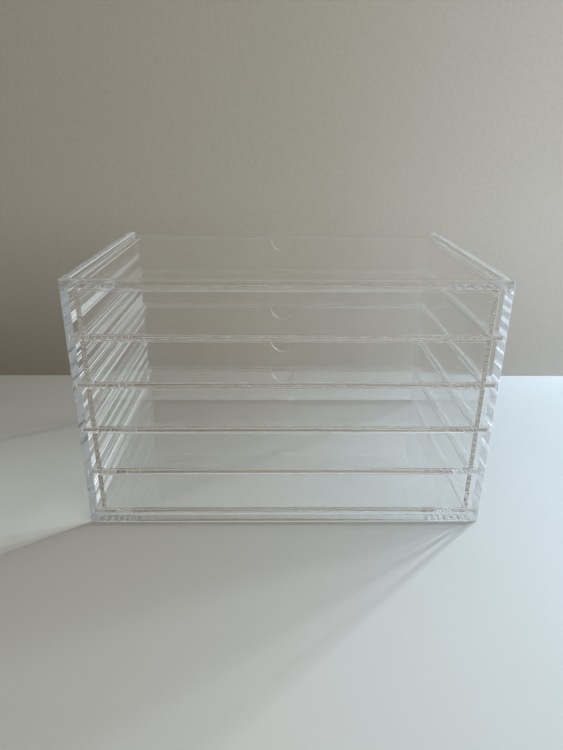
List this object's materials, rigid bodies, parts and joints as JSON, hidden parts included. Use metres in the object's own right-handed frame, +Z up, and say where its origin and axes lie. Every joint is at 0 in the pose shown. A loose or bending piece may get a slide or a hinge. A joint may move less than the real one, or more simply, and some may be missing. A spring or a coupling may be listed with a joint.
{
  "type": "acrylic drawer box",
  "caption": "Clear acrylic desktop drawer box: an open-ended case whose shallow drawers slide in grooves in its sides, each with a finger notch",
  "frame": {"origin": "on the table, under the middle of the box", "axes": "+X to the right across the drawers, +Y from the end with the front rail to the end with the finger notches, +Z up"},
  "size_m": [0.3, 0.2, 0.19],
  "materials": {
    "case_acrylic": "clear cast acrylic sheet with polished edges",
    "drawer_acrylic": "clear cast acrylic sheet with polished edges"
  },
  "bodies": {
    "case": {"case_left_panel": "case_acrylic", "case_right_panel": "case_acrylic", "case_bottom_panel": "case_acrylic", "case_top_plate": "case_acrylic", "case_front_rail": "case_acrylic"},
    "drawer_1": {"drawer_1_floor": "drawer_acrylic", "drawer_1_left_wall": "drawer_acrylic", "drawer_1_right_wall": "drawer_acrylic", "drawer_1_near_wall": "drawer_acrylic", "drawer_1_far_wall": "drawer_acrylic"},
    "drawer_2": {"drawer_2_floor": "drawer_acrylic", "drawer_2_left_wall": "drawer_acrylic", "drawer_2_right_wall": "drawer_acrylic", "drawer_2_near_wall": "drawer_acrylic", "drawer_2_far_wall": "drawer_acrylic"},
    "drawer_3": {"drawer_3_floor": "drawer_acrylic", "drawer_3_left_wall": "drawer_acrylic", "drawer_3_right_wall": "drawer_acrylic", "drawer_3_near_wall": "drawer_acrylic", "drawer_3_far_wall": "drawer_acrylic"},
    "drawer_4": {"drawer_4_floor": "drawer_acrylic", "drawer_4_left_wall": "drawer_acrylic", "drawer_4_right_wall": "drawer_acrylic", "drawer_4_near_wall": "drawer_acrylic", "drawer_4_far_wall": "drawer_acrylic"},
    "drawer_5": {"drawer_5_floor": "drawer_acrylic", "drawer_5_left_wall": "drawer_acrylic", "drawer_5_right_wall": "drawer_acrylic", "drawer_5_near_wall": "drawer_acrylic", "drawer_5_far_wall": "drawer_acrylic"}
  },
  "joints": [
    {"name": "drawer_1_slide", "type": "slide", "parent": "case", "child": "drawer_1", "axis": [0, 1, 0], "range_m": [-0.15, 0.15]},
    {"name": "drawer_2_slide", "type": "slide", "parent": "case", "child": "drawer_2", "axis": [0, 1, 0], "range_m": [-0.15, 0.15]},
    {"name": "drawer_3_slide", "type": "slide", "parent": "case", "child": "drawer_3", "axis": [0, 1, 0], "range_m": [-0.15, 0.15]},
    {"name": "drawer_4_slide", "type": "slide", "parent": "case", "child": "drawer_4", "axis": [0, 1, 0], "range_m": [-0.15, 0.15]},
    {"name": "drawer_5_slide", "type": "slide", "parent": "case", "child": "drawer_5", "axis": [0, 1, 0], "range_m": [-0.15, 0.15]}
  ]
}
